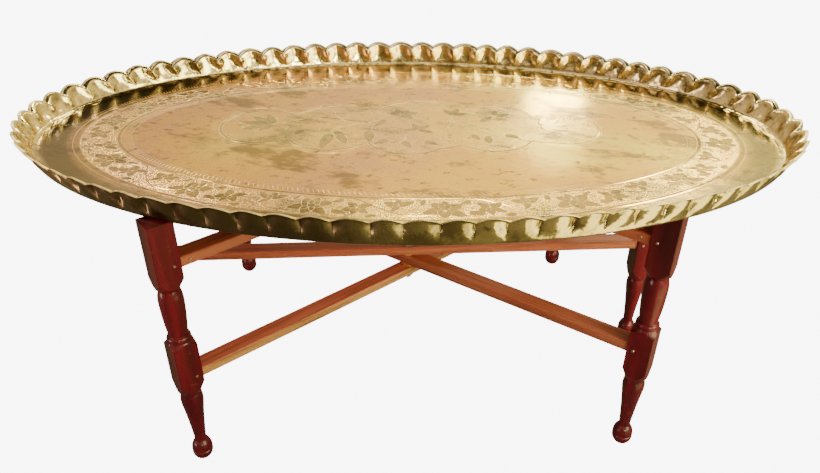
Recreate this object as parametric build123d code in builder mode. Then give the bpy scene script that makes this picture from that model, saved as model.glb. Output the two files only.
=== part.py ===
"""Oval brass tray on a folding stand of six turned legs.

Three two-legged frames, a, b and c, cross at the middle and turn on two upright bolts. The tray
lies loose on the six leg tops. Millimetres, +Z up. The origin is on the floor under the middle
of the tray, and +X runs along the tray's long axis.
"""
from build123d import *
from math import cos, radians, sin
import os

os.makedirs("parts", exist_ok=True)

# Driving dimensions.
TRAY_FLAT_X = 552.5          # half length of the tray's flat
TRAY_FLAT_Y = 318.0          # half width of the tray's flat
RIM_HEIGHT = 39.0
RIM_FLARE_X = 19.0           # how far the rim leans out over its height at the tray's ends
RIM_FLARE_Y = 5.0            # and at its long sides, where it stands steeper
SHEET = 1.5                  # brass sheet

LEG_HEIGHT = 411.0
TRAY_GAP = 0.3               # frames a and b turn this far under the tray, which frame c carries
LEG_RADIUS = 403.0           # from the pivot bolts to each leg's axis
BLANK = 34.0                 # the square blank that a leg is turned from
BLANK_EDGE = 1.2             # eased corners of the blank
LATHE_TURN = 30.0            # turns the outline's seam away from the blank's flats and corners

FRAME_ANGLES = {"a": 41.3, "b": -33.9, "c": 4.2}   # degrees from +X, seen from above
RAIL_WIDTH = 27.0
RAIL_THICK = 15.0
RAIL_EDGE = 1.0
LOWER_RAIL_Z = {"a": 157.5, "b": 180.0, "c": 197.5}   # undersides, stacked at the crossing
UPPER_RAIL_Z = {"a": 341.0, "b": 359.0, "c": 377.0}

TENON_WIDTH = 20.0
TENON_THICK = 9.0
TENON_LENGTH = 22.0
MORTISE_RELIEF = 1.0         # glue space past a tenon's end

NAIL_RADIUS = 1.2
NAIL_HEAD_RADIUS = 2.3
NAIL_HEAD = 0.9
NAIL_LENGTH = 21.0
NAIL_INSET = 9.5             # from a block's inner face to its nail
RAIL_NAIL_LENGTH = 14.0
RAIL_NAIL_INSET = 13.0       # from a rail's shoulder to the nail in its side

BOLT_RADIUS = 4.0
RUNNING_CLEARANCE = 0.05     # frames a and b turn on the bolts
BOLT_HEAD_RADIUS = 9.0
BOLT_HEAD_HEIGHT = 4.5
BOLT_END = 4.0               # thread showing below the nut
BOLT_CHAMFER = 0.8
WASHER_RADIUS = 11.0
WASHER_THICK = 1.8
NUT_ACROSS_FLATS = 13.0
NUT_HEIGHT = 6.5

# Worked out.
CLEAR = BLANK * 0.76         # a radius outside the blank's corners
SHOULDER = LEG_RADIUS - BLANK / 2
TRAY_UNDERSIDE = LEG_HEIGHT + TRAY_GAP
UP = Vector(0, 0, 1)


def finish(builder, name):
    """Labels a finished piece and writes its STEP file."""
    builder.part.label = name
    export_step(builder.part, f"parts/{name}.step")


def along(angle, side=1):
    """Unit vector along a frame, towards its leg on that side."""
    return Vector(side * cos(radians(angle)), side * sin(radians(angle)), 0)


def nail_side(angle):
    """Unit vector square to a frame, out of the side that its nails are driven from."""
    return Vector(sin(radians(angle)), -cos(radians(angle)), 0)


def block_nail(frame, side, rail_z):
    """Plane on a leg block's face where the nail that pins one tenon goes in."""
    angle = FRAME_ANGLES[frame]
    place = along(angle, side) * (SHOULDER + NAIL_INSET)
    place += nail_side(angle) * (BLANK / 2) + UP * (rail_z[frame] + RAIL_THICK / 2)
    return Plane(origin=place, x_dir=along(angle), z_dir=nail_side(angle))


def rail_nail(frame, side):
    """Plane on an upper rail's side face where its own nail goes in, beside the shoulder."""
    angle = FRAME_ANGLES[frame]
    place = along(angle, side) * (SHOULDER - RAIL_NAIL_INSET)
    place += nail_side(angle) * (RAIL_WIDTH / 2) + UP * (UPPER_RAIL_Z[frame] + RAIL_THICK / 2)
    return Plane(origin=place, x_dir=along(angle), z_dir=nail_side(angle))


# Tray: a flat oval floor with a plain wall that leans out, more at the ends than at the long
# sides. Its hollow is a second loft.
with BuildPart() as tray:
    with BuildSketch(Plane.XY.offset(TRAY_UNDERSIDE)):
        Ellipse(TRAY_FLAT_X, TRAY_FLAT_Y)
    with BuildSketch(Plane.XY.offset(TRAY_UNDERSIDE + RIM_HEIGHT)):
        Ellipse(TRAY_FLAT_X + RIM_FLARE_X, TRAY_FLAT_Y + RIM_FLARE_Y)
    loft()
    at_floor = SHEET / RIM_HEIGHT
    with BuildSketch(Plane.XY.offset(TRAY_UNDERSIDE + SHEET)):
        Ellipse(TRAY_FLAT_X + RIM_FLARE_X * at_floor - SHEET,
                TRAY_FLAT_Y + RIM_FLARE_Y * at_floor - SHEET)
    with BuildSketch(Plane.XY.offset(TRAY_UNDERSIDE + RIM_HEIGHT)):
        Ellipse(TRAY_FLAT_X + RIM_FLARE_X - SHEET, TRAY_FLAT_Y + RIM_FLARE_Y - SHEET)
    loft(mode=Mode.SUBTRACT)
finish(tray, "tray")


def make_leg(name, frame, side, height):
    """A turned leg of one frame, with two mortises and the holes of the nails that pin them.

    The outline is the lathe's, as radius and height. Where it stands clear of the square blank
    the blank is left square, and its curved run inwards at a block's ends cuts lamb's tongues."""
    outward = along(FRAME_ANGLES[frame], side)
    foot = outward * LEG_RADIUS
    lathe = along(FRAME_ANGLES[frame] + LATHE_TURN, side)
    with BuildPart() as leg:
        with BuildSketch(Plane(origin=foot, x_dir=lathe, z_dir=lathe.cross(UP))):
            with BuildLine():
                Line((0, 0), (8.5, 0))
                ThreePointArc((8.5, 0), (13.3, 6.0), (14.9, 15.6))
                Polyline((14.9, 15.6), (13.9, 16.9), (14.9, 18.2))
                ThreePointArc((14.9, 18.2), (12.8, 28.5), (8.2, 35.0))
                Spline((8.2, 35.0), (9.6, 56.0), (14.6, 104.0), (15.6, 122.0), (13.6, 130.0))
                Line((13.6, 130.0), (14.6, 131.6))
                Spline((14.6, 131.6), (17.2, 138.0), (20.6, 146.0), (CLEAR, 157.0))
                Line((CLEAR, 157.0), (CLEAR, 216.5))
                Spline((CLEAR, 216.5), (20.5, 220.5), (16.0, 226.8))
                Polyline((16.0, 226.8), (14.9, 227.8), (15.9, 229.0))
                ThreePointArc((15.9, 229.0), (16.0, 232.3), (13.7, 235.5))
                Line((13.7, 235.5), (12.8, 236.5))
                Spline((12.8, 236.5), (14.9, 255.0), (16.5, 283.0), (15.6, 302.0), (13.4, 309.5))
                Line((13.4, 309.5), (14.4, 311.0))
                Spline((14.4, 311.0), (17.4, 316.0), (20.8, 322.0), (CLEAR, 333.0))
                Line((CLEAR, 333.0), (CLEAR, height))
                Polyline((CLEAR, height), (0, height), (0, 0))
            make_face()
        revolve(axis=Axis(foot, UP))
        with BuildSketch(Plane(origin=foot, x_dir=outward, z_dir=UP)):
            RectangleRounded(BLANK, BLANK, BLANK_EDGE)
        extrude(amount=height, mode=Mode.INTERSECT)
        for rail_z in (LOWER_RAIL_Z, UPPER_RAIL_Z):
            mouth = outward * SHOULDER + UP * (rail_z[frame] + RAIL_THICK / 2)
            with BuildSketch(Plane(origin=mouth, x_dir=outward.cross(UP), z_dir=outward)):
                Rectangle(TENON_WIDTH, TENON_THICK)
            extrude(amount=TENON_LENGTH + MORTISE_RELIEF, mode=Mode.SUBTRACT)
            with BuildSketch(block_nail(frame, side, rail_z)):
                Circle(NAIL_RADIUS)
            extrude(amount=-NAIL_LENGTH, mode=Mode.SUBTRACT)
    finish(leg, name)


def make_rail(name, frame, rail_z, hole_radius, side_nails):
    """A flat rail with a tenon at each end and a hole for the pivot bolt in the middle."""
    angle = FRAME_ANGLES[frame]
    bed = Plane(origin=UP * rail_z[frame], x_dir=along(angle), z_dir=UP)
    with BuildPart() as rail:
        with BuildSketch(bed):
            Rectangle(2 * SHOULDER, RAIL_WIDTH)
        extrude(amount=RAIL_THICK)
        chamfer(rail.edges().sort_by(SortBy.LENGTH)[-4:], length=RAIL_EDGE)
        with BuildSketch(bed.offset((RAIL_THICK - TENON_THICK) / 2)):
            Rectangle(2 * (SHOULDER + TENON_LENGTH), TENON_WIDTH)
        extrude(amount=TENON_THICK)
        with BuildSketch(bed):
            Circle(hole_radius)
        extrude(amount=RAIL_THICK, mode=Mode.SUBTRACT)
        for side in (-1, 1):
            with BuildSketch(block_nail(frame, side, rail_z)):
                Circle(NAIL_RADIUS)
            extrude(amount=-NAIL_LENGTH, mode=Mode.SUBTRACT)
            if side_nails:
                with BuildSketch(rail_nail(frame, side)):
                    Circle(NAIL_RADIUS)
                extrude(amount=-RAIL_NAIL_LENGTH, mode=Mode.SUBTRACT)
    finish(rail, name)


def make_nails(name, frame):
    """All the nails of one frame: one through each tenon and one in each end of the upper rail."""
    places = [(block_nail(frame, side, rail_z), NAIL_LENGTH)
              for side in (-1, 1) for rail_z in (LOWER_RAIL_Z, UPPER_RAIL_Z)]
    places += [(rail_nail(frame, side), RAIL_NAIL_LENGTH) for side in (-1, 1)]
    with BuildPart() as nails:
        for plane, length in places:
            with BuildSketch(plane):
                Circle(NAIL_RADIUS)
            extrude(amount=-length)
            with BuildSketch(plane):
                Circle(NAIL_HEAD_RADIUS)
            extrude(amount=NAIL_HEAD, taper=35)
    finish(nails, name)


# Frames. Leg names say where each leg stands, seen from the tray's long front side.
LEGS = {"a": {-1: "leg_front_left", 1: "leg_back_right"},
        "b": {-1: "leg_back_left", 1: "leg_front_right"},
        "c": {-1: "leg_middle_left", 1: "leg_middle_right"}}
for frame, ends in LEGS.items():
    fixed = frame == "c"
    hole_radius = BOLT_RADIUS if fixed else BOLT_RADIUS + RUNNING_CLEARANCE
    for side, name in ends.items():
        make_leg(name, frame, side, LEG_HEIGHT + TRAY_GAP if fixed else LEG_HEIGHT)
    make_rail(f"lower_rail_{frame}", frame, LOWER_RAIL_Z, hole_radius, False)
    make_rail(f"upper_rail_{frame}", frame, UPPER_RAIL_Z, hole_radius, True)
    make_nails(f"joint_nails_{frame}", frame)


def make_rings(name, stations):
    """Flat rings round the pivot, each given by its underside and its thickness."""
    with BuildPart() as rings:
        for bottom, thickness in stations:
            with BuildSketch(Plane.XY.offset(bottom)):
                Circle(WASHER_RADIUS)
                Circle(BOLT_RADIUS, mode=Mode.SUBTRACT)
            extrude(amount=thickness)
    finish(rings, name)


def make_pivot(level, rail_z):
    """The bolt, nut, washers and spacers that hold one stack of three crossing rails."""
    under_nut = rail_z["a"] - WASHER_THICK - NUT_HEIGHT
    tip = under_nut - BOLT_END
    head = rail_z["c"] + RAIL_THICK + WASHER_THICK
    top = head + BOLT_HEAD_HEIGHT
    with BuildPart() as bolt:
        with BuildSketch(Plane.XZ):
            with BuildLine():
                Polyline((0, top), (0, tip), (BOLT_RADIUS - BOLT_CHAMFER, tip),
                         (BOLT_RADIUS, tip + BOLT_CHAMFER), (BOLT_RADIUS, head),
                         (BOLT_HEAD_RADIUS, head), (BOLT_HEAD_RADIUS, head + BOLT_CHAMFER))
                TangentArc((0, top), (BOLT_HEAD_RADIUS, head + BOLT_CHAMFER), tangent=(1, 0))
            make_face()
        revolve(axis=Axis.Z)
    finish(bolt, f"{level}_pivot_bolt")
    with BuildPart() as nut:
        with BuildSketch(Plane.XY.offset(under_nut)):
            RegularPolygon(radius=NUT_ACROSS_FLATS / 2, side_count=6, major_radius=False)
            Circle(BOLT_RADIUS, mode=Mode.SUBTRACT)
        extrude(amount=NUT_HEIGHT)
    finish(nut, f"{level}_pivot_nut")
    make_rings(f"{level}_pivot_washers", [(rail_z["a"] - WASHER_THICK, WASHER_THICK),
                                          (rail_z["c"] + RAIL_THICK, WASHER_THICK)])
    for below, above in (("a", "b"), ("b", "c")):
        top = rail_z[below] + RAIL_THICK
        make_rings(f"{level}_spacer_{below}{above}", [(top, rail_z[above] - top)])


make_pivot("lower", LOWER_RAIL_Z)
make_pivot("upper", UPPER_RAIL_Z)
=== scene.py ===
# %% [markdown]
# # An oval brass tray on a folding stand
# The table is two crafts in one. A metalworker made the tray: sheet brass, raised into a shallow
# oval dish, crimped round the rim and chased with flowers. A turner made the stand: six legs from
# square blanks, joined in pairs by rails that cross and pivot in the middle.
# The CAD model already has the stand's true shapes, so here they only need their finishes. The
# tray is a plain dish in the CAD model, and is made again here as a crimped and engraved sheet.

# %% Load the fixed frame
import math

import bpy
import numpy as np
from mathutils import Matrix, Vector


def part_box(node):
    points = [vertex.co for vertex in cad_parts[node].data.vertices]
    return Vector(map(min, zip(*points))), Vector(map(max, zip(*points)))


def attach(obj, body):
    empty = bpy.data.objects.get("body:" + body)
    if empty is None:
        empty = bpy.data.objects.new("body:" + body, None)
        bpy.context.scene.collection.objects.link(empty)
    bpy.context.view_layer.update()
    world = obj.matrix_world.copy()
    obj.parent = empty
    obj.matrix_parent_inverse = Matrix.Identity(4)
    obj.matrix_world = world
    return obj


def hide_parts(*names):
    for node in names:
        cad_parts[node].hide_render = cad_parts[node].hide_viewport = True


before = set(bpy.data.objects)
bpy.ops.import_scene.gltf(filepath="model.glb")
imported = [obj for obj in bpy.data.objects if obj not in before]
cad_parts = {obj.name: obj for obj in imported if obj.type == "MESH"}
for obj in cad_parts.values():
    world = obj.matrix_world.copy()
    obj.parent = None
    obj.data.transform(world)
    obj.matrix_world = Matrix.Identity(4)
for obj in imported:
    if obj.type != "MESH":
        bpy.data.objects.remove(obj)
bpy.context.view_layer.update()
rng = np.random.default_rng(72)

# %% [markdown]
# ## Camera
# A camera is a place, a direction and a focal length. This one stands a metre in front of the
# tray's middle and 0.85 m above the floor, and looks 32 degrees down. It's that close, and its lens
# slightly wide, so the near rim of the tray is much larger than the far one.

# %% Camera
CAMERA_PLACE = (0.0140, -0.9986, 0.8507)
CAMERA_DOWN = math.radians(32.04)
CAMERA_TURN = math.radians(-0.62)      # to the right of +Y
CAMERA_ROLL = math.radians(0.39)
LENS_MM = 31.22


def axes_at(side, up, back, place):
    """The matrix of an object at place whose own X, Y and Z axes point to side, up and back."""
    axes = np.eye(4)
    axes[:3] = np.stack([side, up, back, place], 1)
    return Matrix(axes.tolist())


camera_data = bpy.data.cameras.new("camera")
camera_data.lens = LENS_MM
camera_data.sensor_width = 36.0
camera_data.clip_start = 0.01
camera = bpy.data.objects.new("camera", camera_data)
bpy.context.collection.objects.link(camera)
bpy.context.scene.camera = camera

forward = np.array([math.sin(CAMERA_TURN) * math.cos(CAMERA_DOWN),
                    math.cos(CAMERA_TURN) * math.cos(CAMERA_DOWN), -math.sin(CAMERA_DOWN)])
level = np.array([math.cos(CAMERA_TURN), -math.sin(CAMERA_TURN), 0.0])
upright = np.cross(level, forward)
camera.matrix_world = axes_at(level * math.cos(CAMERA_ROLL) + upright * math.sin(CAMERA_ROLL),
                              upright * math.cos(CAMERA_ROLL) - level * math.sin(CAMERA_ROLL),
                              -forward, CAMERA_PLACE)
print("camera at", CAMERA_PLACE)

# %% [markdown]
# ## Shader helpers
# A material is a small graph of nodes. `add` makes one node and fills its inputs, either with a
# plain value or with another node's output, so that a graph reads from top to bottom like a recipe.

# %% Shader helpers
def add(tree, kind, inputs=(), **settings):
    """One shader node. inputs maps a socket's name or number to a value or to an output."""
    made = tree.nodes.new("ShaderNode" + kind)
    for name, value in settings.items():
        setattr(made, name, value)
    for name, value in dict(inputs).items():
        if isinstance(value, bpy.types.NodeSocket):
            tree.links.new(value, made.inputs[name])
        else:
            made.inputs[name].default_value = value
    return made


def new_material(name, **constants):
    """An empty material: its tree, its Principled shader and the mesh's own coordinates."""
    material = bpy.data.materials.new(name)
    material.use_nodes = True
    tree = material.node_tree
    shader = tree.nodes["Principled BSDF"]
    for socket, value in constants.items():
        shader.inputs[socket.replace("_", " ")].default_value = value
    place = add(tree, "TexCoord").outputs["Object"]
    return material, tree, shader, place


def ramp(tree, factor, *stops):
    """A colour ramp through (position, colour) stops, each colour given as linear r, g, b."""
    made = add(tree, "ValToRGB", {"Fac": factor})
    bands = made.color_ramp.elements
    while len(bands) < len(stops):
        bands.new(0.5)
    for band, (position, colour) in zip(bands, stops):
        band.position = position
        band.color = (*colour, 1.0)
    return made.outputs["Color"]


def noise(tree, place, scale, detail=4.0, rough=0.55, **more):
    """Cloudy noise between about 0.3 and 0.7, in features of 1/scale metres."""
    inputs = {"Vector": place, "Scale": scale, "Detail": detail, "Roughness": rough, **more}
    return add(tree, "TexNoise", inputs).outputs["Fac"]


def stretch(tree, place, scale, turn):
    """Coordinates turned about Z and then scaled, so a pattern can be drawn out."""
    turned = add(tree, "Mapping", {"Vector": place, "Rotation": (0, 0, turn)})
    drawn = add(tree, "Mapping", {"Vector": turned.outputs[0], "Scale": scale})
    return drawn.outputs[0]


def blend(tree, factor, first, second, how="MIX"):
    """Two colours, each an r, g, b or another node's output, mixed by a factor."""
    first, second = ((*c, 1.0) if isinstance(c, tuple) else c for c in (first, second))
    inputs = {0: factor, 6: first, 7: second}
    return add(tree, "Mix", inputs, data_type="RGBA", blend_type=how).outputs[2]


def sums(tree, how, *values):
    """A Math node on one to three values."""
    return add(tree, "Math", dict(enumerate(values)), operation=how).outputs[0]


def times(tree, first, second):
    """Two values multiplied."""
    return sums(tree, "MULTIPLY", first, second)


def remap(tree, value, low, high, to_low=0.0, to_high=1.0):
    """The value carried over from low..high to to_low..to_high, and held at both ends."""
    return add(tree, "MapRange", {"Value": value, "From Min": low, "From Max": high,
                                  "To Min": to_low, "To Max": to_high}).outputs[0]


def window(tree, value, low, high, soft):
    """1 where value lies between low and high, falling to 0 over soft at each side."""
    return times(tree, remap(tree, value, low - soft, low + soft),
                 remap(tree, value, high + soft, high - soft))


def finish_bump(tree, shader, height, strength, distance, *sockets):
    """Fine relief from a height, put on the shader's Normal and on any further normal sockets."""
    bump = add(tree, "Bump", {"Height": height, "Strength": strength, "Distance": distance})
    for socket in ("Normal", *sockets):
        tree.links.new(bump.outputs[0], shader.inputs[socket])


print("helpers ready")

# %% [markdown]
# ## Floor and light
# The floor and the room are plain and pale to the camera's eye. What matters more is what the brass
# mirrors, because polished metal has no colour but that of its surroundings. So the room that only
# the metal and the varnish see is dim at the floor, bright some way up its walls and dark overhead.
# It is also cooler and dimmer towards the left. One broad window stands low on
# the right, so that each crimp of the rim shows one bright flank and one dark one, and smaller
# lamps add the glints.

# %% The pale floor
FLOOR_HALF = 12.0
PALE_GLOW = 8.2                  # what the camera sees of floor and room

floor_data = bpy.data.meshes.new("floor")
corners = ((-1, -1, 0), (1, -1, 0), (1, 1, 0), (-1, 1, 0))
floor_data.from_pydata(np.array(corners) * FLOOR_HALF, [], [(0, 1, 2, 3)])
floor = bpy.data.objects.new("floor", floor_data)
bpy.context.collection.objects.link(floor)

floor_material, tree, shader, place = new_material(
    "pale_floor", Base_Color=(0.17, 0.15, 0.12, 1), Roughness=0.9, Specular_IOR_Level=0.1)
seen = add(tree, "LightPath").outputs["Is Camera Ray"]
glow = add(tree, "Emission", {"Color": (1.0, 1.0, 1.0, 1), "Strength": PALE_GLOW})
mixed = add(tree, "MixShader", {0: seen, 1: shader.outputs[0], 2: glow.outputs[0]})
tree.links.new(mixed.outputs[0], tree.nodes["Material Output"].inputs["Surface"])
floor_data.materials.append(floor_material)
print("floor", 2 * FLOOR_HALF, "m square")

# %% The room round the table
# Stops of (how far up a direction points, light from there), behind the table and before it.
ROOM_BEHIND = ((0.0, (0.35, 0.29, 0.18)), (0.16, (1.00, 0.86, 0.52)), (0.42, (1.75, 1.60, 0.92)),
               (0.62, (1.2, 1.02, 0.62)), (0.78, (0.08, 0.07, 0.05)))
ROOM_BEFORE = ((0.0, (0.05, 0.045, 0.035)), (0.12, (0.16, 0.14, 0.10)), (0.30, (1.05, 0.90, 0.60)),
               (0.55, (1.75, 1.55, 1.15)), (0.80, (0.05, 0.045, 0.04)))
ROOM_TONE = ((0.0, (0.62, 0.56, 0.58)), (0.5, (1.06, 1.04, 0.92)), (1.0, (1.26, 1.26, 1.02)))

world = bpy.data.worlds.new("room")
bpy.context.scene.world = world
world.use_nodes = True
tree = world.node_tree
way = add(tree, "SeparateXYZ", {0: add(tree, "TexCoord").outputs["Generated"]})
behind = ramp(tree, way.outputs["Z"], *ROOM_BEHIND)
before = ramp(tree, way.outputs["Z"], *ROOM_BEFORE)
room = blend(tree, remap(tree, way.outputs["Y"], 0.05, 0.62), before, behind)
tone = ramp(tree, remap(tree, way.outputs["X"], -0.34, 0.30), *ROOM_TONE)
room = blend(tree, 1.0, room, tone, "MULTIPLY")
seen = add(tree, "LightPath").outputs["Is Camera Ray"]
room = blend(tree, seen, room, (PALE_GLOW, PALE_GLOW, PALE_GLOW))
tree.links.new(room, tree.nodes["Background"].inputs["Color"])
print("room nodes:", len(tree.nodes))


# %% Lamps
def soft_light(name, place, target, size, watts, colour, spread=180, shape="RECTANGLE"):
    """A soft lamp at place that faces target, size across, all in metres; spread in degrees."""
    data = bpy.data.lights.new(name, "AREA")
    data.shape = shape
    data.size, data.size_y = size
    data.energy = watts
    data.color = colour
    data.spread = math.radians(spread)
    lamp = bpy.data.objects.new(name, data)
    aim = np.array(target) - np.array(place)
    aim = aim / np.linalg.norm(aim)
    side = np.cross(aim, (0, 0, 1))
    side = side / np.linalg.norm(side)
    lamp.matrix_world = axes_at(side, np.cross(side, aim), -aim, place)
    lamp.visible_camera = False
    bpy.context.collection.objects.link(lamp)


TABLE_MIDDLE = (0, 0, 0.4)
LAMPS = [
    ("window_right", (1.75, -1.35, 0.95), TABLE_MIDDLE, (1.5, 1.2), 76, (0.93, 1.0, 0.56)),
    ("window_left", (-2.0, -1.4, 1.5), TABLE_MIDDLE, (0.6, 0.8), 8, (1.0, 0.86, 0.78)),
    ("far_lamp", (0.89, 3.34, 1.66), TABLE_MIDDLE, (0.36, 0.24), 7, (0.95, 1.0, 0.55), 180, "ELLIPSE"),
    ("high_lamp", (0.1, 2.2, 2.9), TABLE_MIDDLE, (0.5, 0.4), 40, (0.95, 0.97, 0.55)),
    ("left_high", (-1.3, 1.7, 2.2), (-0.4, 0, 0.42), (0.4, 0.3), 4.5, (1.0, 0.88, 0.66), 90),
    ("right_high", (1.5, 2.3, 2.2), (0.42, 0, 0.42), (0.4, 0.3), 2.4, (0.97, 0.95, 0.50), 60),
    ("front_fill", (0.95, -2.6, 0.8), (0.36, -0.2, 0.26), (0.7, 0.4), 1.5, (0.94, 1.0, 0.58), 30),
    ("left_low", (-1.60, -0.85, 0.16), (-0.5, -0.1, 0.42), (0.9, 0.35), 4.0, (1.0, 0.70, 0.60), 90),
    ("overhead", (-0.3, -0.2, 2.6), TABLE_MIDDLE, (0.9, 0.7), 6, (1.0, 0.95, 0.88)),
    ("floor_bounce", (0.88, -0.65, 0.02), (0.88, -0.60, 1.0), (1.0, 0.6), 5.6, (0.96, 0.86, 0.34)),
]
for lamp in LAMPS:
    soft_light(*lamp)

# %% [markdown]
# ## The crimped tray
# A tinsmith crimps a rim with round pliers: each squeeze pushes a narrow ridge inwards and leaves
# a round pocket between two ridges. Here that is one grid of points. Round the tray run 72 pockets
# of nearly equal length, and across the sheet runs its profile: floor, foot, wall, lip, and back
# underneath. Ridges are added where the wall is high, and fade out above its foot.

# %% Sizes of the tray, from the CAD dish
tray_low, tray_high = (np.array(corner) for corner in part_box("tray"))
SHEET = 0.0015
RIM_HEIGHT = float(tray_high[2] - tray_low[2])
FLARE_LONG, FLARE_WIDE = 0.019, 0.005        # the rim leans out more at the ends
HALF_LONG = float(tray_high[0]) - FLARE_LONG    # the flat's half length
HALF_WIDE = float(tray_high[1]) - FLARE_WIDE
FLOOR_TOP = float(tray_low[2]) + SHEET

POCKETS = 72
STEPS = 16                     # points round each pocket
RIDGE = 0.0060                 # how far a ridge stands in
DIP = 0.0042                   # how much lower the edge is at a ridge
PEAK = 0.0023                  # how much higher it is over a pocket
END_DROP = 0.16                # share of the wall's height lost at the ends, where it leans out
BULGE = 0.0020                 # how far a pocket swells out
OVERHANG = 0.0012              # how far the lip turns out over a pocket
CROWDING = 0.095               # how far points are drawn towards the ridges, as a share of a pocket
UNEVEN_PITCH, UNEVEN_RIDGE, UNEVEN_POCKET = 0.035, 0.10, 0.12    # spread of the hand's crimping
print("tray flat", round(2 * HALF_LONG, 3), "by", round(2 * HALF_WIDE, 3))


# %% The oval, walked at an even pace
def oval_walk(fractions):
    """Angles whose points on the flat's oval lie at these fractions of its length round.

    The arc length is summed from ds = sqrt(a^2 sin^2 t + b^2 cos^2 t) dt and read backwards."""
    fine = np.linspace(0, 2 * np.pi, 7201)
    pace = np.hypot(HALF_LONG * np.sin(fine), HALF_WIDE * np.cos(fine))
    length = np.concatenate([[0], np.cumsum((pace[1:] + pace[:-1]) / 2 * np.diff(fine))])
    laps = np.floor(fractions)
    return np.interp((fractions - laps) * length[-1], length, fine) + 2 * np.pi * laps


def oval_point(angle, out, z, lean):
    """A point at this angle on the flat's outline, leaned out by a share of the rim's flare,
    moved out square to the outline and set at height z."""
    across = np.stack([HALF_WIDE * np.cos(angle), HALF_LONG * np.sin(angle)], -1)
    across = across / np.linalg.norm(across, axis=-1, keepdims=True)
    x = (HALF_LONG + FLARE_LONG * lean) * np.cos(angle) + across[..., 0] * out
    y = (HALF_WIDE + FLARE_WIDE * lean) * np.sin(angle) + across[..., 1] * out
    return np.stack([x, y, z + np.zeros_like(x)], -1)


def smooth(low, high, x):
    """A smooth step from 0 at low to 1 at high."""
    t = np.clip((x - low) / (high - low), 0, 1)
    return t * t * (3 - 2 * t)


knots = np.arange(POCKETS) + rng.normal(0, UNEVEN_PITCH, POCKETS)
ridge_size = 1 + rng.normal(0, UNEVEN_RIDGE, POCKETS + 1)
ridge_size[-1] = ridge_size[0]
pocket_size = 1 + rng.normal(0, UNEVEN_POCKET, POCKETS)
step = np.arange(STEPS) / STEPS
step = step - CROWDING * np.sin(2 * np.pi * step)
gaps = np.diff(np.append(knots, knots[0] + POCKETS))
walk = (knots[:, None] + gaps[:, None] * step).ravel() / POCKETS
angles = oval_walk(walk)
AROUND = angles.size

# Ridge: 1 on a ridge and 0 in mid pocket, as 1 - sin(pi f)^0.75 of the fraction f of a pocket.
valley = np.sin(np.pi * step)[None, :] + np.zeros((POCKETS, 1))
ridge = 1 - valley ** 0.75
size = ridge_size[:-1, None] * (1 - step) + ridge_size[1:, None] * step
ridge = (ridge * size).ravel()
pocket = (valley ** 1.2 * pocket_size[:, None]).ravel()
lip_turn = (valley * (0.45 + smooth(0.25, 0.75, step)) * pocket_size[:, None]).ravel()
print("points round the tray:", AROUND)


# %% The sheet's profile
def bezier(points, t):
    """A cubic Bezier curve through 2-D control points, at an array of fractions t."""
    p = np.array(points, float)
    t = t[:, None]
    return ((1 - t) ** 3 * p[0] + 3 * (1 - t) ** 2 * t * p[1]
            + 3 * (1 - t) * t ** 2 * p[2] + t ** 3 * p[3])


# Out from the leaning wall and up from the floor, in millimetres, along the sheet's upper face.
foot = bezier([(-4.5, 0), (-1.6, 0), (-0.1, 0.9), (0, 5.0)], np.linspace(0, 1, 9))
wall = bezier([(0, 5.0), (0, 13), (-0.8, 22), (-0.8, 31)], np.linspace(0, 1, 13)[1:])
lip = bezier([(-0.8, 31), (-0.8, 34.4), (0.2, 36.6), (2.4, 37.2)], np.linspace(0, 1, 7)[1:])
profile = np.concatenate([foot, wall, lip]) / 1000
tangent = np.gradient(profile, axis=0)
tangent /= np.linalg.norm(tangent, axis=1, keepdims=True)
outward = np.stack([tangent[:, 1], -tangent[:, 0]], 1)     # towards the sheet's back

climb = profile[:, 1] / (RIM_HEIGHT - SHEET)
crimp = smooth(0.06, 0.72, climb) * (1 - 0.68 * smooth(0.82, 1.0, climb))
rise = smooth(0.35, 1.0, climb)
swell = np.sin(np.pi * np.clip((climb - 0.18) / 0.86, 0, 1))
turned = smooth(0.84, 1.0, climb)


def wall_rows(depth):
    """Rows of points along the wall, depth metres behind the sheet's upper face.

    A point moves in by RIDGE on a ridge, out by BULGE in a pocket and by OVERHANG at the lip."""
    line = profile + outward * depth
    out = line[:, :1] - RIDGE * crimp[:, None] * ridge + BULGE * swell[:, None] * pocket
    out = out + OVERHANG * turned[:, None] * lip_turn
    drop = END_DROP * np.cos(angles) ** 2 * np.maximum(line[:, 1:], 0)
    z = FLOOR_TOP + line[:, 1:] - drop + rise[:, None] * (PEAK * pocket - DIP * ridge)
    lean = np.clip(line[:, 1:] / (RIM_HEIGHT - SHEET), 0, 1)
    return oval_point(angles[None, :] + np.zeros_like(out), out, z, lean)


upper = wall_rows(0.0)
lower = wall_rows(SHEET)
HEM = 0.0009                   # the edge is beaten a little thicker
edge_middle = (upper[-1] + lower[-1]) / 2
beyond = upper[-1] - upper[-2]
beyond /= np.linalg.norm(beyond, axis=1, keepdims=True)
half = (upper[-1] - lower[-1]) / 2
turns = np.linspace(0, np.pi, 6)[:, None, None]
edge = edge_middle + half * np.cos(turns) * (1 + HEM / SHEET) + beyond * np.sin(turns) * SHEET
print("profile rows:", len(profile))


# %% Rings of the flat
def flat_point(angle, inset, z):
    """A point on the flat, inset metres in from its outline: x = (a - 1.08 i) cos, y = (b - i) sin.

    The engraved borders follow these ovals, which close in a little faster at the ends."""
    x = (HALF_LONG - 1.08 * inset) * np.cos(angle)
    y = (HALF_WIDE - inset) * np.sin(angle)
    return np.stack([x, y, z + np.zeros_like(x)], -1)


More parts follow.
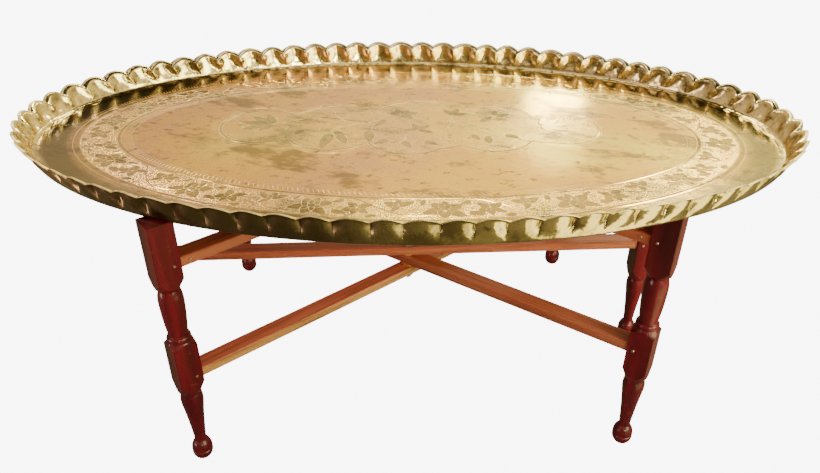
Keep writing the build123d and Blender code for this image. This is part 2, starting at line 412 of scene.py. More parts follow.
INNER = 0.150                  # past this inset the rings shrink towards the middle
insets = np.concatenate([[0.014, 0.030], np.linspace(0.045, 0.140, 9), [INNER]])
shrink = np.array([0.86, 0.70, 0.52, 0.34, 0.17, 0.05])
rings = flat_point(angles[None, :], insets[:, None], FLOOR_TOP)
middle = flat_point(angles, INNER, FLOOR_TOP)
core = middle * shrink[:, None, None]
core[..., 2] = FLOOR_TOP
top_rows = np.concatenate([core[::-1], rings[::-1], upper])
under_rings = np.concatenate([rings[[0, 6]], core[[1, 3, 5]]])    # the plain underside needs few
under = np.concatenate([lower[::-1], under_rings - (0, 0, SHEET)])
sheet_rows = np.concatenate([top_rows, edge[1:-1], under])
print("rows across the sheet:", len(sheet_rows))


# %% A closed mesh from rows of points
def make_piece(name, points, faces, uv=None, smooth_faces=True):
    """A mesh object from an array of points and a list of faces, each an array of point numbers."""
    data = bpy.data.meshes.new(name)
    data.vertices.add(len(points))
    data.vertices.foreach_set("co", np.asarray(points, np.float32).ravel())
    sizes = np.array([len(face) for face in faces])
    corners = np.concatenate(faces)
    data.loops.add(len(corners))
    data.loops.foreach_set("vertex_index", corners.astype(np.int32))
    data.polygons.add(len(sizes))
    data.polygons.foreach_set("loop_start", np.concatenate([[0], np.cumsum(sizes)[:-1]]))
    data.polygons.foreach_set("loop_total", sizes)
    data.polygons.foreach_set("use_smooth", np.full(len(sizes), smooth_faces))
    data.update(calc_edges=True)
    if uv is not None:
        layer = data.uv_layers.new(name="along")
        layer.data.foreach_set("uv", np.asarray(uv, np.float32)[corners].ravel())
    data.validate()
    piece = bpy.data.objects.new(name, data)
    bpy.context.collection.objects.link(piece)
    return piece


def grid_faces(rows, columns):
    """Quads over a grid of points whose rows run round and close on themselves."""
    row = np.arange(rows - 1)[:, None]
    column = np.arange(columns)[None, :]
    after = (column + 1) % columns
    quads = np.stack([row * columns + column, row * columns + after,
                      (row + 1) * columns + after, (row + 1) * columns + column], -1)
    return quads.reshape(-1, 4)


row_count = len(sheet_rows)
points = np.concatenate([sheet_rows.reshape(-1, 3), [(0, 0, FLOOR_TOP)],
                         [(0, 0, FLOOR_TOP - SHEET)]])
quads = grid_faces(row_count, AROUND)[:, ::-1]
ring_index = np.arange(AROUND)
last = (row_count - 1) * AROUND
hub_top, hub_under = len(points) - 2, len(points) - 1
cap_top = np.stack([ring_index, (ring_index + 1) % AROUND, np.full(AROUND, hub_top)], 1)
cap_under = np.stack([last + (ring_index + 1) % AROUND, last + ring_index,
                      np.full(AROUND, hub_under)], 1)
# The UV map tells the metal where it is: X is the way round, Y the inset, or one of these marks.
MIDDLE_MARK, WALL_MARK = 0.25, -0.01
HEM_MARK, UNDER_MARK = -0.05, -0.03    # the worn hem, painted pale as a highlight line, and the painted shade just under it
inset_rows = np.concatenate([np.full(len(core), MIDDLE_MARK), insets[::-1],
                             np.full(row_count, WALL_MARK)])
hem = len(core) + len(insets) + len(upper)
inset_rows[hem - 3:hem + len(edge) - 1] = HEM_MARK
inset_rows[hem + len(edge) - 1:hem + len(edge) + 2] = UNDER_MARK
uv = np.zeros((len(points), 2))
uv[:-2, 0] = np.tile(np.arange(AROUND) / AROUND, row_count)
uv[:-2, 1] = np.repeat(inset_rows[:row_count], AROUND)
uv[-2:, 1] = MIDDLE_MARK
tray = make_piece("tray_sheet", points, [*quads, *cap_top, *cap_under], uv)
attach(tray, "tray")
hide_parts("tray")
print("tray faces:", len(tray.data.polygons))

# %% [markdown]
# ## Aged brass
# Brass is a bright metal under a thin skin. Here the skin is made of clouds of warmer and cooler
# gold, brown tarnish that gathers in patches, fine scratches from a century of cloths, and dots
# where the ground of the engraving was matted with a punch. All of it is in the mesh's own
# coordinates, in metres, so a scale of 40 means features about 25 mm across. What belongs to the
# rim, the hem or the border follows the tray's own map of insets, and so does some painted light:
# painted shade on the rim's front left and under the hem, and a hem painted pale as a highlight line.

# %% Aged brass
GOLD = (0.88, 0.49, 0.10)
PALE_GOLD = (0.92, 0.66, 0.12)
COPPERY = (0.74, 0.38, 0.17)
RIM_GOLD = (0.84, 0.70, 0.36)
DULL_GOLD = (0.50, 0.36, 0.13)
HEM_WEAR_HIGHLIGHT_GOLD = (0.95, 0.76, 0.38)
DOT_GOLD = (0.90, 0.72, 0.26)
OLIVE = (0.30, 0.225, 0.10)
DARK_OLIVE = (0.13, 0.105, 0.045)
TARNISH = (0.115, 0.076, 0.038)
FRONT_LEFT_SHADE = (0.085, 0.058, 0.030)
LIP_SHADE_BROWN = (0.045, 0.022, 0.010)
BORDER_OUTER, BORDER_INNER = 0.058, 0.106    # insets of the flower band's edges
SMOOTHEST = 0.12                             # roughness where the brass is best polished


def far_wear(tree, spot):
    """1 where years of polish wore the engraving faint: the far side, away from both ends."""
    between_ends = window(tree, spot.outputs["X"], -0.36, 0.40, 0.08)
    return times(tree, between_ends, remap(tree, spot.outputs["Y"], 0.15, 0.23))


def sheet_marks(tree, place, spot, marks, patches, gold, rough, height):
    """The tray's marks and painted light on colour, roughness and height, laid on one after the other:
    a pale rim, an olive gutter, dull ends, painted shade on the rim's front left and under the hem,
    and a worn hem painted pale as a highlight line."""
    side_to_side, inset = spot.outputs["X"], marks.outputs["Y"]
    on_rim = remap(tree, inset, 0.004, -0.004)
    gold = blend(tree, times(tree, on_rim, 0.85), gold, RIM_GOLD)
    outer = window(tree, inset, 0.0, BORDER_OUTER - 0.012, 0.010)
    gutter = times(tree, outer, remap(tree, patches, 0.30, 0.62, 0.25, 0.85))
    gold = blend(tree, gutter, gold, OLIVE)
    left_end = remap(tree, side_to_side, -0.22, -0.45)
    right_end = remap(tree, side_to_side, 0.30, 0.50)
    for right_share, where, share, colour in ((0.6, on_rim, 0.65, DULL_GOLD),
                                              (0.7, outer, 0.88, DARK_OLIVE)):
        ends = sums(tree, "MAXIMUM", left_end, times(tree, right_end, right_share))
        gold = blend(tree, times(tree, ends, times(tree, where, share)), gold, colour)
    # Painted shade: the front left of the rim, the side turned away from the window on the right, is
    # darkened and made rougher.
    front = remap(tree, spot.outputs["Y"], -0.10, -0.22)
    left = window(tree, sums(tree, "MULTIPLY_ADD", patches, 0.5, side_to_side), -0.22, 0.27, 0.10)
    front_left_shade = times(tree, times(tree, front, left), on_rim)
    gold = blend(tree, times(tree, front_left_shade, 0.92), gold, FRONT_LEFT_SHADE)
    # Painted shade: dark brown in part of every pocket just under the hem, where the lip's overhang
    # shades the wall.
    phase = sums(tree, "FRACT", times(tree, marks.outputs["X"], float(POCKETS)))
    lip_shade = times(tree, window(tree, phase, 0.38, 0.80, 0.14),
                 window(tree, inset, UNDER_MARK - 0.006, UNDER_MARK + 0.008, 0.004))
    gold = blend(tree, times(tree, lip_shade, 0.9), gold, LIP_SHADE_BROWN)
    # The hem is painted paler and made rougher: partly wear, and partly a painted highlight line along
    # the lip.
    hem_wear_and_highlight = remap(tree, inset, HEM_MARK + 0.012, HEM_MARK + 0.002)
    gold = blend(tree, times(tree, hem_wear_and_highlight, 0.75), gold, HEM_WEAR_HIGHLIGHT_GOLD)
    rough = sums(tree, "MULTIPLY_ADD", front_left_shade, 0.16, rough)
    rough = sums(tree, "MULTIPLY_ADD", hem_wear_and_highlight, 0.26, rough)
    waves = times(tree, noise(tree, place, 8.0, 2.0), 8.0)
    dents = times(tree, noise(tree, place, 60.0, 2.0), 7.0)
    height = sums(tree, "ADD", sums(tree, "MULTIPLY_ADD", dents, on_rim, height), waves)
    return gold, rough, height


def punch_dots(tree, place, specks, worn_far, band):
    """Dots of the matting punch within a band, fewer where the sheet is worn."""
    dots = add(tree, "TexVoronoi", {"Vector": place, "Scale": 430.0, "Randomness": 0.9})
    ground = times(tree, remap(tree, dots.outputs["Distance"], 0.62, 0.30), band)
    ground = times(tree, ground, remap(tree, specks, 0.36, 0.56, 0.45))
    return times(tree, ground, sums(tree, "MULTIPLY_ADD", worn_far, -0.8, 1.0))


def brass(name, matted="border", roughness=(SMOOTHEST, 0.22), tarnish=1.0, skin=None):
    """Aged brass with clouds, stains and scratches; matted in the border, or all over, or not.

    A skin is the colour of engraved lines or leaves, and lies over the gold."""
    material, tree, shader, place = new_material(name, Metallic=1.0)
    spot = add(tree, "SeparateXYZ", {0: place})
    clouds = sums(tree, "MULTIPLY_ADD", spot.outputs["X"], 0.24,
                  noise(tree, place, 3.6, 6.0, 0.62, Distortion=0.4))
    gold = ramp(tree, clouds, (0.38, COPPERY), (0.50, GOLD), (0.64, PALE_GOLD))
    worn_far = far_wear(tree, spot)
    if skin is not None:
        gold = blend(tree, sums(tree, "MULTIPLY_ADD", worn_far, -0.58, 0.72), gold, skin)
    patches = noise(tree, stretch(tree, place, (1.0, 1.7, 1.0), 0.3), 9.0, 8.0, 0.68)
    specks = noise(tree, stretch(tree, place, (1.0, 1.6, 1.0), -0.2), 46.0, 6.0, 0.7)
    stain = sums(tree, "MAXIMUM", remap(tree, patches, 0.515, 0.61),
                 remap(tree, specks, 0.565, 0.635))
    dust = remap(tree, noise(tree, place, 380.0, 3.0, 0.7), 0.50, 0.66, 0.0, 0.34)
    dark = sums(tree, "MAXIMUM", times(tree, stain, 0.72 * tarnish), dust)
    cloth = noise(tree, stretch(tree, place, (7, 420, 60), 0.25), 1.0, 3.0, 0.6)
    cross = noise(tree, stretch(tree, place, (380, 9, 60), 0.5), 1.0, 3.0, 0.6)
    scratch = times(tree, cloth, cross)
    height = times(tree, scratch, 0.35)
    rough = remap(tree, sums(tree, "ADD", patches, times(tree, scratch, 0.5)), 0.45, 0.85, *roughness)
    rough = sums(tree, "MULTIPLY_ADD", worn_far, 0.85 * (SMOOTHEST - roughness[0]), rough)
    band = 0.85
    if matted == "border":
        marks = add(tree, "SeparateXYZ", {0: add(tree, "UVMap", uv_map="along").outputs[0]})
        band = window(tree, marks.outputs["Y"], BORDER_OUTER, BORDER_INNER, 0.0006)
        gold, rough, height = sheet_marks(tree, place, spot, marks, patches, gold, rough, height)
    colour = blend(tree, dark, gold, TARNISH)
    if matted:
        ground = punch_dots(tree, place, specks, worn_far, band)
        colour = blend(tree, times(tree, ground, 0.5), colour, DOT_GOLD)
        rough = sums(tree, "ADD", rough, times(tree, ground, 0.16))
        height = sums(tree, "ADD", height, times(tree, ground, 0.8))
    tree.links.new(colour, shader.inputs["Base Color"])
    tree.links.new(rough, shader.inputs["Roughness"])
    finish_bump(tree, shader, height, 0.35, 0.0004)
    return material


tray.data.materials.append(brass("brass_of_tray"))
print("brass nodes:", len(tray.data.materials[0].node_tree.nodes))

# %% [markdown]
# ## Engraving
# An engraver cuts bright lines with a pointed tool, and mats the ground between them with a punch
# so that the smooth leaves stand out. The graver throws up a burr beside each cut, and here each
# line is such a burr: a low three-sided prism along a curve. Leaves are thin smooth plates.
# Everything is first drawn flat, as curves of x and y, and many curves of one kind are kept in
# one array, so a whole border is made at once.

# %% Drawing tools of the engraver
SUNK = 0.00006                 # how far the engraving's pieces reach down into the sheet
LOWEST_LEAF = 0.00006          # height of the lowest leaf, the others stand a little higher
LEAF_STEPS = 18                # points round a leaf, from its stalk by its tip and back


def curve_through(points, count):
    """A smooth curve through points, count samples: a Catmull-Rom spline,
    p(t) = (2 b + (c - a) t + (2 a - 5 b + 4 c - d) t^2 + (3 b - a - 3 c + d) t^3) / 2."""
    p = np.array(points, float)
    p = np.concatenate([[2 * p[0] - p[1]], p, [2 * p[-1] - p[-2]]])
    t = np.linspace(0, len(p) - 3, count)
    first = np.minimum(t.astype(int), len(p) - 4)
    t = (t - first)[:, None]
    a, b, c, d = p[first], p[first + 1], p[first + 2], p[first + 3]
    return (2 * b + (c - a) * t + (2 * a - 5 * b + 4 * c - d) * t ** 2
            + (3 * b - a - 3 * c + d) * t ** 3) / 2


def leaf_outline(base, length, width, heading_deg, point=1.0):
    """A closed leaf: along = L (1 - cos t) / 2, across = W sin t / 2 (1 + 0.35 point cos t)."""
    t = 2 * np.pi * np.arange(LEAF_STEPS) / LEAF_STEPS
    along = length * (1 - np.cos(t)) / 2
    across = width / 2 * np.sin(t) * (1 + 0.35 * point * np.cos(t))
    h = math.radians(heading_deg)
    return np.stack([base[0] + along * math.cos(h) - across * math.sin(h),
                     base[1] + along * math.sin(h) + across * math.cos(h)], -1)


def line_prisms(curves, width, height, closed=False):
    """Points, quads and triangles of a three-sided prism along each curve of a (count, n, 2) array.

    An open line thins to its ends like a graver's cut, as (sin pi t)^0.4."""
    count, n = curves.shape[:2]
    if closed:
        run = np.roll(curves, -1, 1) - np.roll(curves, 1, 1)
        share = np.ones((1, n, 1))
    else:
        run = np.gradient(curves, axis=1)
        share = (0.25 + 0.75 * np.sin(np.pi * np.linspace(0, 1, n)) ** 0.4)[None, :, None]
    side = np.stack([-run[..., 1], run[..., 0]], -1)
    side /= np.linalg.norm(side, axis=-1, keepdims=True) + 1e-12
    low = np.full((count, n, 1), FLOOR_TOP - SUNK)
    left = np.concatenate([curves + side * share * width / 2, low], -1)
    right = np.concatenate([curves - side * share * width / 2, low], -1)
    crest = np.concatenate([curves, FLOOR_TOP + height * share + np.zeros((count, n, 1))], -1)
    points = np.stack([left, crest, right], 2).reshape(-1, 3)
    at = np.arange(count * n).reshape(count, n)
    here = at if closed else at[:, :-1]
    ahead = np.roll(at, -1, 1) if closed else at[:, 1:]
    faces = [np.stack([3 * here + k, 3 * here + (k + 1) % 3, 3 * ahead + (k + 1) % 3,
                       3 * ahead + k], -1).reshape(-1, 4) for k in range(3)]
    quads = np.concatenate(faces)
    if closed:
        return points, quads, np.zeros((0, 3), int)
    starts, ends = 3 * at[:, 0], 3 * at[:, -1]
    caps = np.concatenate([np.stack([starts, starts + 2, starts + 1], -1),
                           np.stack([ends, ends + 1, ends + 2], -1)])
    return points, quads, caps


def plates(outlines, lift):
    """Thin closed plates over closed outlines, a (count, n, 2) array, lift metres above the sheet.

    Outlines that run clockwise are turned round first, so that every top faces up."""
    count, n = outlines.shape[:2]
    ahead = np.roll(outlines, -1, 1)
    area = (outlines[..., 0] * ahead[..., 1] - outlines[..., 1] * ahead[..., 0]).sum(1)
    outlines = np.where((area < 0)[:, None, None], outlines[:, ::-1], outlines)
    lift = np.broadcast_to(np.asarray(lift, float), (count,))
    centre = outlines.mean(1, keepdims=True)
    tops = np.concatenate([outlines, centre + (outlines - centre) * 0.80, centre], 1)
    heights = np.concatenate([np.full((count, n), 0.4), np.ones((count, n + 1))], 1)
    z = FLOOR_TOP + lift[:, None] * heights
    upper_side = np.concatenate([tops, z[..., None]], -1)
    below = np.concatenate([outlines, np.full((count, n, 1), FLOOR_TOP - SUNK)], -1)
    below_hub = np.concatenate([centre, np.full((count, 1, 1), FLOOR_TOP - SUNK)], -1)
    points = np.concatenate([upper_side, below, below_hub], 1)
    size = points.shape[1]
    k = np.arange(n)
    k1 = (k + 1) % n
    low = 2 * n + 1
    quads = np.concatenate([np.stack([k, k1, n + k1, n + k], -1),
                            np.stack([low + k, low + k1, k1, k], -1)])
    tris = np.concatenate([np.stack([n + k, n + k1, np.full(n, 2 * n)], -1),
                           np.stack([low + k1, low + k, np.full(n, low + n)], -1)])
    shift = (np.arange(count) * size)[:, None, None]
    return points.reshape(-1, 3), (quads + shift).reshape(-1, 4), (tris + shift).reshape(-1, 3)


def engraved(name, *parts):
    """One piece made of several (points, quads, triangles) parts, riding on the tray."""
    starts = np.cumsum([0] + [len(part[0]) for part in parts])
    points = np.concatenate([part[0] for part in parts])
    faces = []
    for start, (_, quads, tris) in zip(starts, parts):
        faces += [*(quads + start), *(tris + start)]
    piece = make_piece(name, points, faces, smooth_faces=False)
    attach(piece, "tray")
    print(name, "faces:", len(piece.data.polygons))
    return piece


# %% Border rings
REPEATS = 14
ROUND = 2.785                  # length of the flat's outline, the ruler for everything along it
FIRST = 0.721                  # where the first repeat starts, as a fraction of the way round


def border_point(along, inset):
    """Plan points at metres along the outline and metres in from it."""
    angle = oval_walk(FIRST + np.asarray(along) / ROUND)
    return flat_point(angle, np.asarray(inset), 0.0)[..., :2]


def border_ring(inset):
    """A closed ring at one inset, as an array of one curve."""
    count = 1440
    return border_point(np.arange(count) / count * ROUND, np.full(count, inset))[None]


def border_strokes(number, start, end, slant):
    """Short cuts from one inset to another, slanting forward by slant metres."""
    t = np.linspace(0, 1, 5)
    along = np.arange(number)[:, None] / number * ROUND + slant * t
    return border_point(along, start + (end - start) * t + np.zeros_like(along))


thin_rings = [line_prisms(border_ring(inset), 0.0010, 0.00012, closed=True)
              for inset in (0.0490, 0.0585, 0.1065, 0.1125, 0.1255)]
hatch = line_prisms(border_strokes(520, 0.040, 0.0475, 0.0035), 0.0009, 0.00012)
rope = line_prisms(border_strokes(310, 0.1245, 0.1135, 0.0085), 0.0012, 0.00014)
border_lines = engraved("tray_border_lines", *thin_rings, hatch, rope)
border_grooves = engraved(
    "tray_border_grooves",
    line_prisms(border_ring(0.0538), 0.0072, 0.00018, closed=True),
    line_prisms(border_ring(0.1095), 0.0036, 0.00014, closed=True))

# %% Flower band
# One repeat, in millimetres along the outline and in from it. The vine dips from the inner edge to
# the outer one and ends in a big flower; small sprays of leaves fill the hollows on either side.
VINE = [(-30, 106), (-12, 106), (0, 105), (10, 101), (36, 86), (59, 75), (82, 67), (104, 66),
        (120, 71), (131, 77)]
SHOOTS = [[(46, 82), (58, 86), (68, 93)], [(150, 90), (166, 100), (182, 104)],
          [(-6, 104), (0, 96), (6, 88)], [(96, 66), (112, 62), (150, 61), (176, 66), (190, 72)],
          [(120, 96), (110, 102), (98, 105)], [(20, 66), (34, 63), (52, 66)]]
# Leaves and petals: stalk along and inset, length, width, and heading in degrees.
FLOWER = [(138, 82, 34, 17, 196), (138, 82, 22, 20, 262), (138, 82, 35, 16, 328),
          (138, 82, 32, 17, 18), (138, 82, 21, 18, 78), (138, 82, 24, 18, 140)]
SPRAYS = [(70, 91, 25, 12, 165), (70, 91, 15, 15, 100), (70, 91, 26, 12, 22), (70, 91, 19, 11, 235),
          (8, 84, 25, 13, 205), (8, 84, 20, 13, 145), (8, 84, 19, 13, 262), (8, 84, 24, 12, 20),
          (8, 84, 24, 12, 325), (172, 72, 24, 10, 352), (40, 65, 18, 8, 190),
          (184, 101, 20, 8, 200), (104, 93, 15, 9, 60)]


def straight_between(starts, ends, count):
    """A straight line of count points from each start to its end: (number of lines, count, 2)."""
    return starts[:, None] + (ends - starts)[:, None] * np.linspace(0, 1, count)[None, :, None]


def repeated(shapes):
    """Every shape of one repeat, in millimetres, drawn in all the repeats: (count, n, 2)."""
    shapes = np.array(shapes) / 1000
    starts = (np.arange(REPEATS) * ROUND / REPEATS)[:, None, None]
    along = shapes[None, ..., 0] + starts
    inset = shapes[None, ..., 1] + np.zeros_like(along)
    return border_point(along, inset).reshape(-1, shapes.shape[1], 2)


blades = [leaf_outline((u, v), long, wide, way) for u, v, long, wide, way in FLOWER + SPRAYS]
blades.append(leaf_outline((133, 82), 12, 10, 0, point=0.0))          # the flower's round heart
shapes = repeated(blades)
lifts = np.tile(LOWEST_LEAF + 0.000006 * np.arange(len(blades)), REPEATS)
stalks, tips = shapes[:, 0], shapes[:, LEAF_STEPS // 2]
veins = straight_between(0.75 * stalks + 0.25 * tips, 0.15 * stalks + 0.85 * tips, 5)
vines = repeated([curve_through(VINE, 44)])
shoots = repeated([curve_through(shoot, 12) for shoot in SHOOTS])
flower_lines = engraved(
    "tray_flower_lines", line_prisms(shapes, 0.0014, 0.00018, closed=True),
    line_prisms(veins, 0.0007, 0.00013), line_prisms(shoots, 0.0010, 0.00013))
flower_leaves = engraved("tray_flower_leaves", plates(shapes, lifts),
                         line_prisms(vines, 0.0026, 0.00012))

# %% Medallion
# The medallion's outline is a chain of round lobes: centre x, y and radius in millimetres.
LOBES = np.array([(235, 20, 60), (130, 40, 73), (25, 30, 95), (-110, 20, 80), (-227, 17, 64),
                  (-118, -2, 68), (0, -15, 66), (125, -2, 66)], float)


def lobe_reach(ways, grow):
    """How far the lobes' union reaches from the middle, every radius grown, in each direction.

    A ray d meets a circle about c at t = d.c + sqrt(r^2 - c.c + (d.c)^2); the largest counts."""
    ray = np.stack([np.cos(ways), np.sin(ways)], 1)
    along = ray @ LOBES[:, :2].T
    root = (LOBES[:, 2] + grow) ** 2 - (LOBES[:, :2] ** 2).sum(1) + along ** 2
    reach = np.where(root > 0, along + np.sqrt(np.maximum(root, 0)), 0).max(1)
    return ray * reach[:, None] / 1000


fan = np.linspace(0, 2 * np.pi, 2401)
paces = np.linalg.norm(np.diff(lobe_reach(fan, 0.0), axis=0), axis=1)
paced = np.concatenate([[0], np.cumsum(paces)]) / paces.sum()


def lobe_path(grow, count=300):
    """The medallion's outline, every radius grown, as a closed curve of even steps, in metres."""
    return lobe_reach(np.interp(np.arange(count) / count, paced, fan), grow)


dashes = straight_between(lobe_path(4.0, 230), lobe_path(11.0, 230), 3)
SPRIGS = [(-210, 24, 54, 17, 174), (-210, 24, 50, 17, 142), (-210, 24, 42, 16, 110),
          (-210, 24, 50, 15, 204), (-210, 24, 34, 14, 238), (-118, -8, 56, 18, 262),
          (-112, -2, 24, 14, 315), (-104, -14, 34, 15, 292), (-60, 4, 44, 16, 274),
          (-12, 68, 26, 15, 165), (-12, 68, 26, 15, 110), (-12, 68, 28, 15, 20),
          (-12, 68, 24, 14, 60), (-12, 68, 24, 15, 318), (-36, 46, 30, 12, 236),
          (14, 10, 26, 12, 40), (14, 10, 24, 12, 110), (14, 10, 24, 12, 190),
          (14, 10, 26, 12, 330), (70, 70, 26, 13, 70), (70, 70, 24, 13, 130),
          (70, 70, 26, 13, 10), (112, 42, 28, 13, 45), (138, 66, 26, 13, 20),
          (138, 66, 24, 13, 90), (96, -8, 22, 11, 300), (120, -12, 28, 13, 270),
          (146, -6, 26, 12, 330), (206, 30, 42, 15, 8), (206, 30, 40, 15, 42),
          (206, 30, 36, 14, 76), (206, 30, 42, 15, 334), (206, 30, 32, 13, 298),
          (-86, 78, 24, 12, 30), (-86, 78, 24, 12, 150), (-150, 44, 24, 11, 196),
          (-160, 4, 22, 11, 240), (-30, -30, 24, 12, 215), (-8, -34, 26, 12, 300),
          (24, -34, 24, 12, 330)]
TENDRIL_REACH = 13.0
STEMS = [[(-124, 92), (-116, 62), (-98, 38), (-76, 30), (-52, 40), (-36, 62), (-14, 68)],
         [(-118, -30), (-116, 2), (-100, 20), (-76, 30), (-58, 34)],
         [(-40, 48), (-54, 26), (-58, 2), (-64, -24)],
         [(-206, 22), (-180, 40), (-150, 46), (-124, 40)],
         [(-58, 34), (-20, 22), (14, 12), (46, 8), (62, 22), (66, 48), (70, 70)],
         [(62, 22), (84, 34), (112, 42), (150, 36), (178, 24), (206, 30)],
         [(112, 42), (126, 52), (138, 66)], [(178, 24), (196, 4), (206, -16), (214, -26)],
         [(84, 34), (88, 12), (100, -4), (120, -12), (146, -6)],
         [(14, 12), (-2, -8), (-8, -34), (-30, -30)], [(-124, 92), (-108, 84), (-86, 78)]]
# Tendrils: centre x and y, and the direction they start in, in radians.
TENDRILS = [(-236, 48, 0), (-182, 6, 2), (-150, 60, 4), (-132, 24, 1), (-92, 56, 3), (-84, -18, 5),
            (-40, 76, 2), (-34, 12, 0), (4, 94, 4), (2, -36, 1), (40, 92, 3), (42, 50, 5),
            (40, -18, 2), (74, 40, 0), (86, 82, 1), (84, -22, 4), (122, 16, 3), (166, 74, 5),
            (164, 4, 0), (196, 60, 2), (228, -2, 4), (252, 48, 1), (150, -36, 3), (-56, 106, 1),
            (-160, -22, 2)]


def tendril(x, y, turn):
    """A spiral tendril of two turns that closes in on x, y: r = TENDRIL_REACH (1 - 0.85 t)."""
    t = np.linspace(0, 1, 26)
    angle = turn + 4 * np.pi * t
    reach = TENDRIL_REACH * (1 - 0.85 * t)
    return np.stack([x + reach * np.cos(angle), y + reach * np.sin(angle)], -1)


tendrils = np.array([tendril(x, y, turn) for x, y, turn in TENDRILS]) / 1000
sprigs = np.array([leaf_outline((x, y), long, wide, way)
                   for x, y, long, wide, way in SPRIGS]) / 1000
stems = np.array([curve_through(stem, 24) for stem in STEMS]) / 1000
stalks, tips = sprigs[:, 0], sprigs[:, LEAF_STEPS // 2]
sprig_veins = straight_between(0.8 * stalks + 0.2 * tips, 0.1 * stalks + 0.9 * tips, 6)
medallion_lines = engraved(
    "tray_medallion_lines", line_prisms(lobe_path(0.0)[None], 0.0012, 0.00012, closed=True),
    line_prisms(lobe_path(-5.0)[None], 0.0009, 0.00012, closed=True),
    line_prisms(dashes, 0.0011, 0.00012), line_prisms(sprigs, 0.0010, 0.00014, closed=True),
    line_prisms(sprig_veins, 0.0008, 0.00012), line_prisms(stems, 0.0014, 0.00018),
    line_prisms(tendrils, 0.0011, 0.00016))
medallion_leaves = engraved("tray_medallion_leaves",
                            plates(sprigs, LOWEST_LEAF + 0.000004 * np.arange(len(sprigs))),
                            line_prisms(lobe_path(-2.6)[None], 0.0030, 0.00010, closed=True))
medallion_ground = engraved("tray_medallion_ground", plates(lobe_path(-5.0)[None], 0.00003))

# %% Finishes of the engraving
cut_brass = brass("bright_cut_brass", matted=None, roughness=(0.32, 0.42), tarnish=0.35,
                  skin=(0.92, 0.74, 0.34))
leaf_brass = brass("smooth_leaf_brass", matted=None, roughness=(0.10, 0.18), tarnish=1.0,
                   skin=(0.40, 0.29, 0.115))
finishes = ((cut_brass, (border_lines, flower_lines, medallion_lines)),
            (leaf_brass, (border_grooves, flower_leaves, medallion_leaves)),
            (brass("punched_brass", matted="all"), (medallion_ground,)))
for finish, pieces in finishes:
    for piece in pieces:
        piece.data.materials.append(finish)
print("engraved pieces:", sum(len(pieces) for _, pieces in finishes))

# %% [markdown]
# ## Varnished wood
# The legs are stained dark red under a gloss varnish, so they have two surfaces: the wood, with
# grain drawn out along the leg, and a clear coat that gives the sharp highlights. The rails took
# less stain, each in its own way. One of them has tan sides, and a top worn to a salmon red.

# %% Varnished wood
def grain(tree, place, turn, along_x):
    """Streaks of grain drawn out along the piece: a rail's X after turning it, or a leg's Z."""
    fine_scale = (6, 130, 130) if along_x else (130, 130, 6)
    fine = noise(tree, stretch(tree, place, fine_scale, turn), 1.0, 6.0, 0.62, Distortion=0.6)
    broad_scale = (2.2, 34, 34) if along_x else (34, 34, 2.2)
    broad = noise(tree, stretch(tree, place, broad_scale, turn), 1.0, 3.0, 0.5, Distortion=0.9)
    return fine, broad


LEG_STREAKS = ((0.30, (0.028, 0.002, 0.005)), (0.50, (0.074, 0.003, 0.009)),
               (0.68, (0.125, 0.007, 0.014)))
LEG_PORES, LEG_SCUFFS = (0.030, 0.006, 0.005), (0.24, 0.07, 0.04)
RAIL_TOP = ((0.32, (0.17, 0.022, 0.014)), (0.5, (0.34, 0.062, 0.040)), (0.66, (0.52, 0.14, 0.085)))
RAIL_SIDE = ((0.32, (0.18, 0.034, 0.023)), (0.5, (0.36, 0.092, 0.052)), (0.66, (0.52, 0.18, 0.10)))
RAIL_PORES = (0.09, 0.022, 0.010)
STAIN_SHARE = 0.62             # how much of a rail's hue is its own stain's


def leg_wood(name, turn, seed):
    """Dark red stain with browner streaks, worn marks and a gloss varnish."""
    material, tree, shader, place = new_material(
        name, Coat_Weight=0.36, Coat_Roughness=0.12, Coat_IOR=1.45, Specular_IOR_Level=0.08)
    shifted = add(tree, "Mapping", {"Vector": place, "Location": (seed, 2 * seed, 0)}).outputs[0]
    fine, broad = grain(tree, shifted, turn, False)
    streaks = ramp(tree, broad, *LEG_STREAKS)
    colour = blend(tree, remap(tree, fine, 0.42, 0.62), streaks, LEG_PORES)
    colour = blend(tree, 0.45, streaks, colour)
    scuffs = noise(tree, shifted, 60.0, 7.0, 0.72)
    colour = blend(tree, times(tree, remap(tree, scuffs, 0.62, 0.72), 0.35), colour, LEG_SCUFFS)
    tree.links.new(colour, shader.inputs["Base Color"])
    tree.links.new(remap(tree, scuffs, 0, 1, 0.28, 0.55), shader.inputs["Roughness"])
    hollows = times(tree, noise(tree, shifted, 22.0, 2.0), 1.6)
    relief = sums(tree, "ADD", times(tree, fine, 0.5), hollows)
    finish_bump(tree, shader, relief, 0.25, 0.0006, "Coat Normal")
    return material


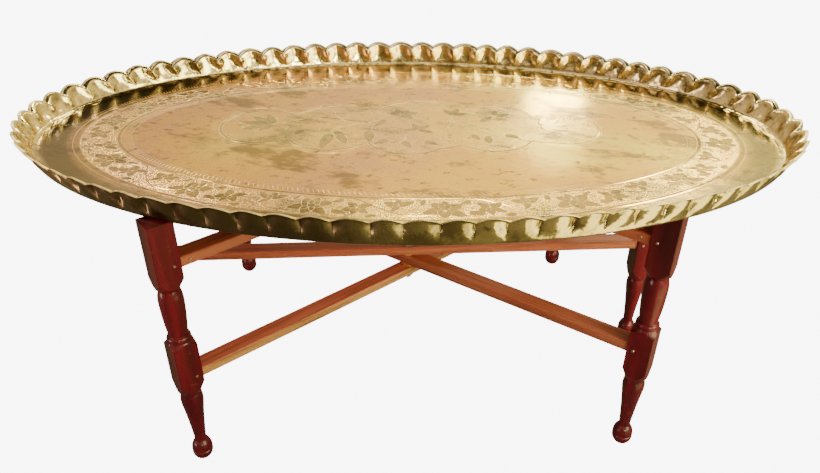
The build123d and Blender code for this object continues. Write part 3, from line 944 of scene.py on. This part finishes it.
def rail_wood(name, turn, seed, stain):
    """Red-brown top and underside, lighter sides, grain along the rail, satin varnish.

    Each rail took the stain in its own way: stain holds the hue of its top and of its sides."""
    material, tree, shader, place = new_material(
        name, Coat_Weight=0.30, Coat_Roughness=0.25, Coat_IOR=1.45, Specular_IOR_Level=0.15)
    turned = add(tree, "Mapping", {"Vector": place, "Rotation": (0, 0, -turn)}).outputs[0]
    shifted = add(tree, "Mapping", {"Vector": turned, "Location": (seed, 0, seed)}).outputs[0]
    fine, broad = grain(tree, shifted, 0.0, True)
    face = add(tree, "SeparateXYZ", {0: add(tree, "NewGeometry").outputs["Normal"]}).outputs["Z"]
    flat = remap(tree, sums(tree, "ABSOLUTE", face), 0.3, 0.8)
    top = blend(tree, STAIN_SHARE, ramp(tree, broad, *RAIL_TOP), stain[0])
    side = blend(tree, STAIN_SHARE, ramp(tree, broad, *RAIL_SIDE), stain[1])
    colour = blend(tree, flat, side, top)
    pores = remap(tree, fine, 0.48, 0.66)
    colour = blend(tree, times(tree, pores, 0.6), colour, RAIL_PORES)
    tree.links.new(colour, shader.inputs["Base Color"])
    tree.links.new(remap(tree, fine, 0, 1, 0.32, 0.6), shader.inputs["Roughness"])
    finish_bump(tree, shader, fine, 0.3, 0.0005)
    return material


# %% Wood on the CAD legs and rails
def heading(node):
    """The angle from +X at which a leg stands, seen from above, by the middle of its box."""
    low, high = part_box(node)
    return math.atan2((low[1] + high[1]) / 2, (low[0] + high[0]) / 2)


def give(node, material):
    """Puts one material on every slot of a CAD node."""
    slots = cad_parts[node].material_slots
    for held in slots:
        held.material = material
    if not slots:
        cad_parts[node].data.materials.append(material)


FRAME_LEGS = {"a": ("leg_back_right", "leg_front_left"), "b": ("leg_front_right", "leg_back_left"),
              "c": ("leg_middle_right", "leg_middle_left")}
RAIL_STAINS = {"lower_rail_a": ((0.46, 0.095, 0.068), (0.36, 0.20, 0.065)),
               "lower_rail_b": ((0.30, 0.070, 0.036), (0.11, 0.018, 0.012))}
PLAIN_STAIN = ((0.30, 0.052, 0.036), (0.25, 0.062, 0.036))
for number, (letter, legs) in enumerate(FRAME_LEGS.items()):
    turn = heading(legs[0])
    for side, leg in enumerate(legs):
        give(leg, leg_wood(f"wood_of_{leg}", -turn, 0.37 * number + 0.11 * side))
    for level in ("lower", "upper"):
        rail = f"{level}_rail_{letter}"
        seed = 0.53 * number + 0.2 * (level == "upper")
        give(rail, rail_wood(f"wood_of_{rail}", turn, seed, RAIL_STAINS.get(rail, PLAIN_STAIN)))
    print("frame", letter, "turned", round(math.degrees(turn), 1))

# %% [markdown]
# ## Metal fittings
# Nail heads are bright, worn steel. The pivot bolts, their nuts and washers are dull zinc plate,
# mottled darker, and the spacers are turned brass gone brown.

# %% Metal fittings
def plated_steel(name, light, dark, roughness):
    """Steel with mottled plating and a fine, directionless brushing."""
    material, tree, shader, place = new_material(name, Metallic=1.0)
    mottle = noise(tree, place, 240.0, 6.0, 0.65)
    tree.links.new(ramp(tree, mottle, (0.36, dark), (0.62, light)), shader.inputs["Base Color"])
    tree.links.new(remap(tree, mottle, 0, 1, roughness + 0.2, roughness),
                   shader.inputs["Roughness"])
    finish_bump(tree, shader, noise(tree, place, 900.0, 3.0), 0.25, 0.0002)
    return material


nail_metal = plated_steel("nail_steel", (0.70, 0.56, 0.42), (0.26, 0.16, 0.10), 0.22)
zinc = plated_steel("zinc_plate", (0.48, 0.46, 0.43), (0.20, 0.18, 0.16), 0.32)
spacer_metal = brass("brown_brass", matted=None, roughness=(0.35, 0.5), tarnish=1.4)
for letter in FRAME_LEGS:
    give(f"joint_nails_{letter}", nail_metal)
for level in ("lower", "upper"):
    for part in ("bolt", "nut", "washers"):
        give(f"{level}_pivot_{part}", zinc)
    for gap in ("ab", "bc"):
        give(f"{level}_spacer_{gap}", spacer_metal)
print("materials:", len(bpy.data.materials))
